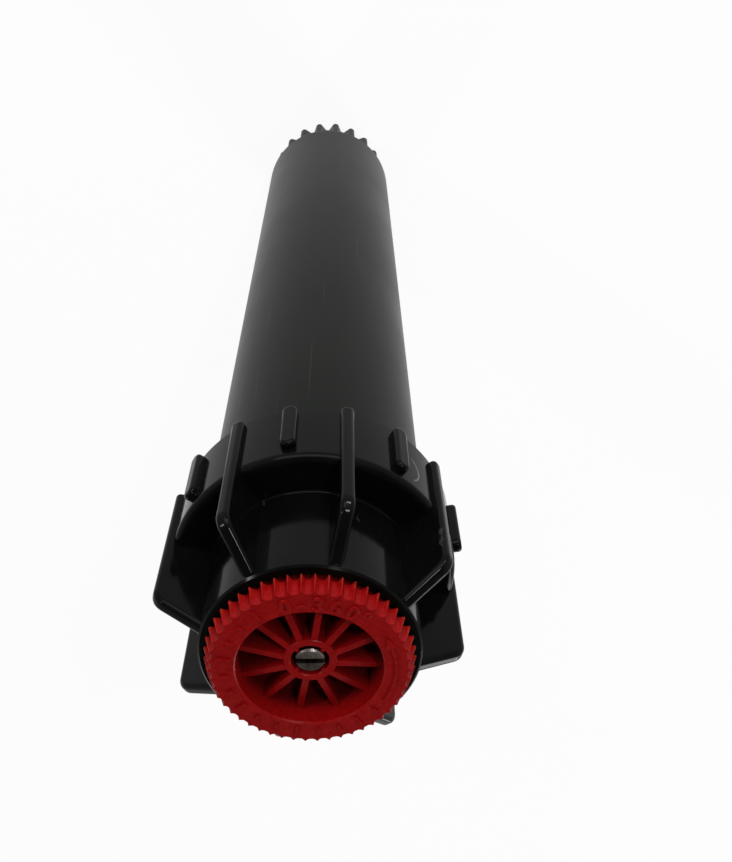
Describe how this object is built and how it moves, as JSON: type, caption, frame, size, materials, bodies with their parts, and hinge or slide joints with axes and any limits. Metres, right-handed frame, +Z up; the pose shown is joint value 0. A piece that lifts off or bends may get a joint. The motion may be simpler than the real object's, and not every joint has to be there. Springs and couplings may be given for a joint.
{
  "type": "pop up sprinkler",
  "caption": "Tall pop up spray sprinkler: black tube case, finned screw cap, spring-returned riser and a red adjustable arc nozzle with a knurled collar.",
  "frame": {"origin": "centre of the inlet's bottom face, on the sprinkler's axis", "axes": "+Z up the riser's travel, from the inlet to the nozzle face; +X along the screw's slot"},
  "size_m": [0.0468, 0.0468, 0.2225],
  "materials": {
    "case_plastic": "satin black moulded plastic with fine scuffs",
    "cap_plastic": "glossy black moulded plastic",
    "seal_rubber": "smooth black rubber",
    "retainer_plastic": "satin dark plastic",
    "spring_steel": "bright drawn stainless wire",
    "riser_plastic": "smooth satin black plastic",
    "filter_plastic": "pale natural plastic",
    "nozzle_plastic": "satin black plastic",
    "collar_red": "satin deep red moulded plastic",
    "screw_steel": "dull stainless steel"
  },
  "bodies": {
    "case": {"body_case": "case_plastic", "cap": "cap_plastic", "wiper_seal": "seal_rubber", "spring_retainer": "retainer_plastic", "retract_spring": "spring_steel"},
    "riser_guide": {"guide_ring": "retainer_plastic"},
    "riser": {"riser_stem": "riser_plastic", "ratchet_clip": "retainer_plastic", "filter_frame": "filter_plastic", "filter_mesh": "filter_plastic", "nozzle_gasket": "seal_rubber", "nozzle_base": "nozzle_plastic", "screw_oring": "seal_rubber"},
    "collar": {"arc_collar": "collar_red", "arc_valve": "nozzle_plastic"},
    "throttle": {"throttle_plug": "nozzle_plastic"},
    "screw": {"radius_screw": "screw_steel"}
  },
  "joints": [
    {"name": "riser_lift", "type": "slide", "parent": "case", "child": "riser_guide", "axis": [0, 0, 1], "range_m": [0, 0.15], "stiffness_N_per_m": 120, "springref_m": -0.1, "deforming": ["retract_spring"]},
    {"name": "riser_swivel", "type": "hinge", "parent": "riser_guide", "child": "riser", "pos_m": [0, 0, 0.1], "axis": [0, 0, 1], "continuous": true},
    {"name": "arc_turn", "type": "hinge", "parent": "riser", "child": "collar", "pos_m": [0, 0, 0.2175], "axis": [0, 0, -1], "range_deg": [0, 360]},
    {"name": "throttle_travel", "type": "slide", "parent": "riser", "child": "throttle", "axis": [0, 0, -1], "range_m": [0, 0.0016]},
    {"name": "radius_turn", "type": "hinge", "parent": "throttle", "child": "screw", "pos_m": [0, 0, 0.2187], "axis": [0, 0, -1], "range_deg": [0, 720]}
  ],
  "couplings": [
    {"joint": "radius_turn", "follows": "throttle_travel", "rad_per_m": 7854}
  ]
}
